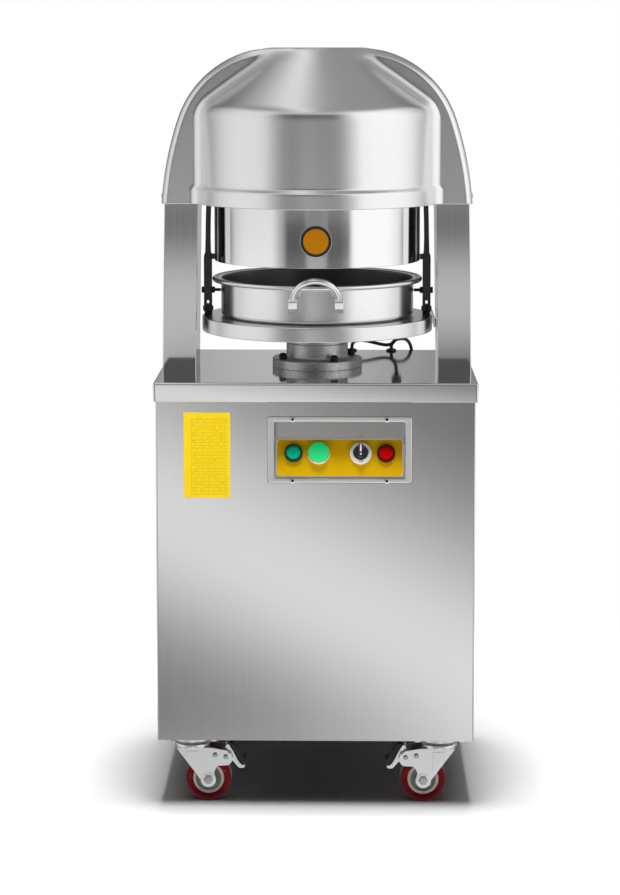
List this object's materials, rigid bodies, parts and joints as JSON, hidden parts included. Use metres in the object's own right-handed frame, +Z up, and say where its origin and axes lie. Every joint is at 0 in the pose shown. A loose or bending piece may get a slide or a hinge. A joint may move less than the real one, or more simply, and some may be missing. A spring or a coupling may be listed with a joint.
{
  "type": "dough divider",
  "caption": "Free-standing electric dough divider: cabinet on casters, screw-lifted plate and bowl, fixed knife head under a pressed hood, recessed control console.",
  "frame": {"origin": "on the floor under the axis of the bowl and the screw, the centre of the part's box", "axes": "+Z up, -Y to the front where the console is, +X to the right as seen from the front"},
  "size_m": [0.5278, 0.4408, 1.238],
  "materials": {
    "stainless": "brushed stainless sheet",
    "satin_stainless": "satin pressed stainless sheet",
    "bright_stainless": "turned and polished stainless",
    "cast_iron": "bare grainy casting",
    "black_steel": "black oxide",
    "frame_paint": "grey primer",
    "bronze": "turned bronze",
    "ground_steel": "ground and oiled",
    "press_alloy": "machined alloy",
    "pulley_iron": "machined casting",
    "belt_rubber": "ribbed rubber",
    "motor_paint": "enamel",
    "grey_plastic": "moulded",
    "zinc": "zinc plated",
    "amber_plate": "printed plate",
    "green_lamp": "ribbed lens",
    "red_lamp": "ribbed lens",
    "green_cap": "moulded cap",
    "device_metal": "plated ring",
    "black_plastic": "moulded",
    "caster_red": "polyurethane tyre on a moulded hub",
    "cable_black": "smooth sheath",
    "spring_steel": "wound wire"
  },
  "bodies": {
    "cabinet": {"base_frame": "frame_paint", "base_pan": "stainless", "front_panel": "stainless", "side_panels": "stainless", "back_panel": "stainless", "panel_screws": "device_metal", "worktop": "stainless", "deck_plate": "frame_paint", "head_frame": "frame_paint", "left_column": "stainless", "right_column": "stainless", "hood": "satin_stainless", "guide_sleeve": "cast_iron", "sleeve_bolts": "black_steel", "guide_bush": "bronze", "knife_grid": "bright_stainless", "bearing_housing": "cast_iron", "motor": "motor_paint", "electrical_box": "grey_plastic", "control_bezel": "bright_stainless", "control_recess": "stainless", "control_plate": "amber_plate", "device_collars": "device_metal", "green_lens": "green_lamp", "red_lens": "red_lamp", "caster_plates": "zinc", "caster_bolts": "zinc", "cable_grommets": "black_plastic", "sensor_cable": "cable_black", "rear_cable": "cable_black", "mains_gland": "black_plastic", "limit_switch": "black_plastic", "v_belt": "belt_rubber", "press_springs": "spring_steel"},
    "lift": {"ram": "ground_steel", "screw_nut": "bronze", "lift_plate": "bright_stainless", "left_arm": "black_steel", "right_arm": "black_steel", "arm_brackets": "black_steel", "arm_adjusters": "black_steel", "guard_drum": "bright_stainless", "bowl": "bright_stainless", "bowl_handle": "bright_stainless"},
    "screw": {"lead_screw": "ground_steel", "screw_pulley": "pulley_iron"},
    "motor_rotor": {"motor_pulley": "pulley_iron"},
    "press_head": {"press_blocks": "press_alloy"},
    "start_cap": {"start_button": "green_cap"},
    "selector": {"selector_knob": "black_plastic"},
    "front_left_swivel": {"front_left_fork": "zinc"},
    "front_left_roller": {"front_left_wheel": "caster_red"},
    "front_right_swivel": {"front_right_fork": "zinc"},
    "front_right_roller": {"front_right_wheel": "caster_red"},
    "rear_left_swivel": {"rear_left_fork": "zinc"},
    "rear_left_roller": {"rear_left_wheel": "caster_red"},
    "rear_right_swivel": {"rear_right_fork": "zinc"},
    "rear_right_roller": {"rear_right_wheel": "caster_red"},
    "front_left_brake": {"front_left_pedal": "black_steel"},
    "front_right_brake": {"front_right_pedal": "black_steel"}
  },
  "joints": [
    {"name": "screw_turn", "type": "hinge", "parent": "cabinet", "child": "screw", "pos_m": [0, 0, 0.5], "axis": [0, 0, 1], "range_deg": [0, 5670]},
    {"name": "motor_turn", "type": "hinge", "parent": "cabinet", "child": "motor_rotor", "pos_m": [0.15, 0.02, 0.5], "axis": [0, 0, 1], "range_deg": [0, 14204.45]},
    {"name": "plate_lift", "type": "slide", "parent": "cabinet", "child": "lift", "axis": [0, 0, 1], "range_m": [0, 0.09451]},
    {"name": "press_rise", "type": "slide", "parent": "cabinet", "child": "press_head", "axis": [0, 0, 1], "range_m": [0, 0.045], "stiffness_N_per_m": 4000, "springref_m": -0.02, "deforming": ["press_springs"]},
    {"name": "start_press", "type": "slide", "parent": "cabinet", "child": "start_cap", "axis": [0, 0.866, -0.5], "range_m": [0, 0.005], "stiffness_N_per_m": 600, "springref_m": -0.001},
    {"name": "selector_turn", "type": "hinge", "parent": "cabinet", "child": "selector", "pos_m": [0.073, -0.18733, 0.58414], "axis": [0, -0.866, 0.5], "range_deg": [0, 90]},
    {"name": "front_left_swivel_turn", "type": "hinge", "parent": "cabinet", "child": "front_left_swivel", "pos_m": [-0.204, -0.158, 0.1], "axis": [0, 0, 1], "continuous": true},
    {"name": "front_left_wheel_roll", "type": "hinge", "parent": "front_left_swivel", "child": "front_left_roller", "pos_m": [-0.177, -0.158, 0.0375], "axis": [0, 1, 0], "continuous": true},
    {"name": "front_right_swivel_turn", "type": "hinge", "parent": "cabinet", "child": "front_right_swivel", "pos_m": [0.204, -0.158, 0.1], "axis": [0, 0, 1], "continuous": true},
    {"name": "front_right_wheel_roll", "type": "hinge", "parent": "front_right_swivel", "child": "front_right_roller", "pos_m": [0.177, -0.158, 0.0375], "axis": [0, 1, 0], "continuous": true},
    {"name": "rear_left_swivel_turn", "type": "hinge", "parent": "cabinet", "child": "rear_left_swivel", "pos_m": [-0.204, 0.158, 0.1], "axis": [0, 0, 1], "continuous": true},
    {"name": "rear_left_wheel_roll", "type": "hinge", "parent": "rear_left_swivel", "child": "rear_left_roller", "pos_m": [-0.177, 0.158, 0.0375], "axis": [0, 1, 0], "continuous": true},
    {"name": "rear_right_swivel_turn", "type": "hinge", "parent": "cabinet", "child": "rear_right_swivel", "pos_m": [0.204, 0.158, 0.1], "axis": [0, 0, 1], "continuous": true},
    {"name": "rear_right_wheel_roll", "type": "hinge", "parent": "rear_right_swivel", "child": "rear_right_roller", "pos_m": [0.177, 0.158, 0.0375], "axis": [0, 1, 0], "continuous": true},
    {"name": "front_left_brake_press", "type": "hinge", "parent": "front_left_swivel", "child": "front_left_brake", "pos_m": [-0.1425, -0.158, 0.079], "axis": [0, 1, 0], "range_deg": [0, 12]},
    {"name": "front_right_brake_press", "type": "hinge", "parent": "front_right_swivel", "child": "front_right_brake", "pos_m": [0.1425, -0.158, 0.079], "axis": [0, -1, 0], "range_deg": [0, 12]}
  ],
  "couplings": [
    {"joint": "plate_lift", "follows": "screw_turn", "m_per_rad": 0.00095493},
    {"joint": "motor_turn", "follows": "screw_turn", "ratio": 2.505}
  ]
}
